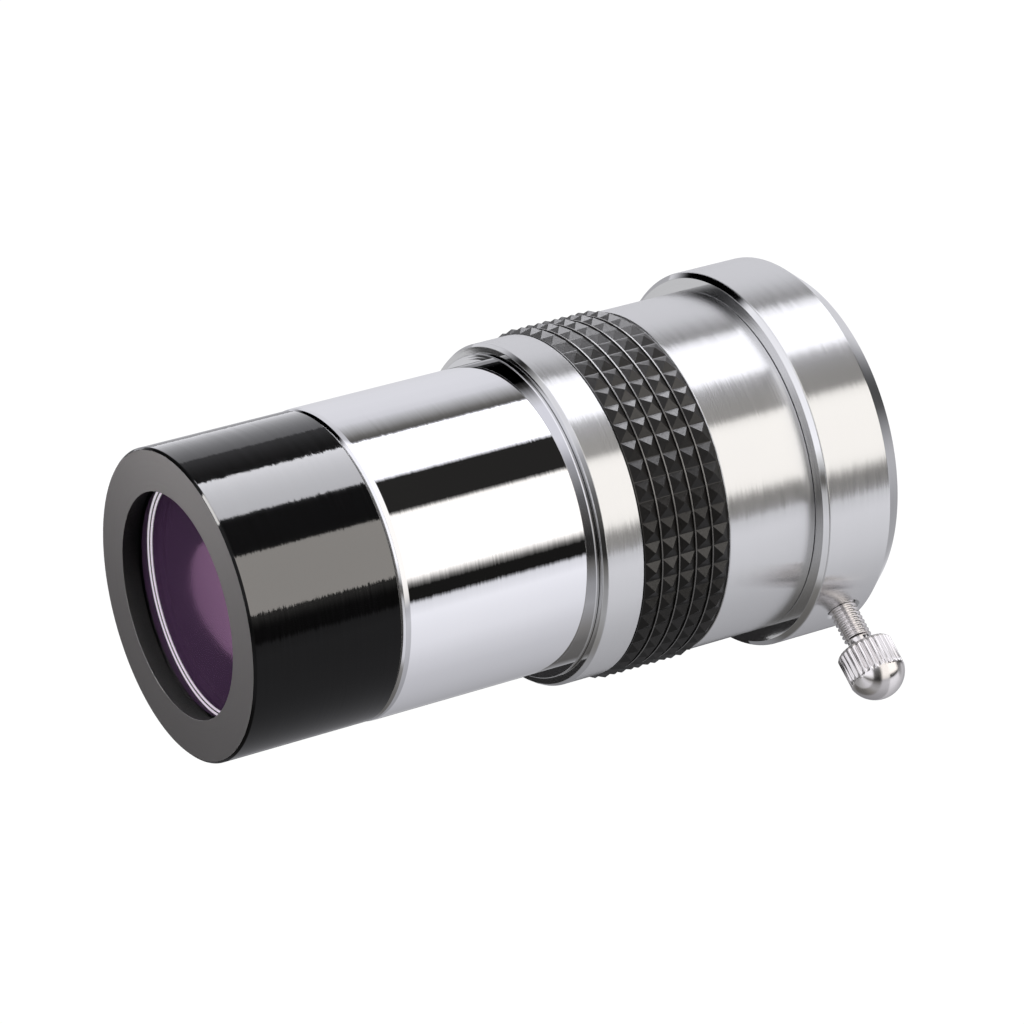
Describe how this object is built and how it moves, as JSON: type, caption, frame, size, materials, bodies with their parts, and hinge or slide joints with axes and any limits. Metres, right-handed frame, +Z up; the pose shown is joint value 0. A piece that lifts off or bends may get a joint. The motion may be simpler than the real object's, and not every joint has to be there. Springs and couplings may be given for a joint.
{
  "type": "telescope barlow lens",
  "caption": "Achromatic Barlow lens for a 1.25 inch telescope focuser: chromed nosepiece, black screw-off lens cell, aluminium body with ribbed rubber grip, and thumbscrew eyepiece collar.",
  "frame": {"origin": "on the optical axis, in the plane of the flange that stops against the focuser", "axes": "+X along the optical axis from the lens cell towards the eyepiece socket, +Z up, with the thumbscrew pointing down towards -Y"},
  "size_m": [0.0726, 0.0446, 0.0394],
  "materials": {
    "black_anodised": "gloss black anodised, satin front face",
    "coated_glass": "polished, violet anti-reflection coating",
    "matte_black": "matte black",
    "chrome": "mirror chrome",
    "turned_aluminium": "fine turned and polished, with lines round the axis",
    "rubber": "matte moulded",
    "stainless": "bright machined"
  },
  "bodies": {
    "root": {"nosepiece_barrel": "chrome", "light_baffle": "matte_black", "body_tube": "turned_aluminium", "rubber_grip": "rubber", "eyepiece_collar": "turned_aluminium"},
    "lens_group": {"front_lens_element": "coated_glass", "rear_lens_element": "coated_glass", "lens_retaining_ring": "matte_black"},
    "lens_cell": {"lens_cell_housing": "black_anodised"},
    "screw_shank": {"thumbscrew_shank": "stainless"},
    "screw_head": {"thumbscrew_head": "stainless"}
  },
  "joints": [
    {"name": "lens_cell_travel", "type": "slide", "parent": "root", "child": "lens_group", "axis": [1, 0, 0], "range_m": [-0.0042, 0]},
    {"name": "lens_cell_turn", "type": "hinge", "parent": "lens_group", "child": "lens_cell", "pos_m": [-0.02965, 0, 0], "axis": [1, 0, 0], "range_deg": [-2520, 0]},
    {"name": "thumbscrew_travel", "type": "slide", "parent": "root", "child": "screw_shank", "axis": [0, -0.809, -0.5878], "range_m": [-0.0042, 0.0025]},
    {"name": "thumbscrew_turn", "type": "hinge", "parent": "screw_shank", "child": "screw_head", "pos_m": [0.03025, -0.02184, -0.01587], "axis": [0, -0.809, -0.5878], "range_deg": [-3024, 1800]}
  ],
  "couplings": [
    {"joint": "lens_cell_travel", "follows": "lens_cell_turn", "m_per_rad": 0.00009549},
    {"joint": "thumbscrew_turn", "follows": "thumbscrew_travel", "rad_per_m": 12566}
  ]
}
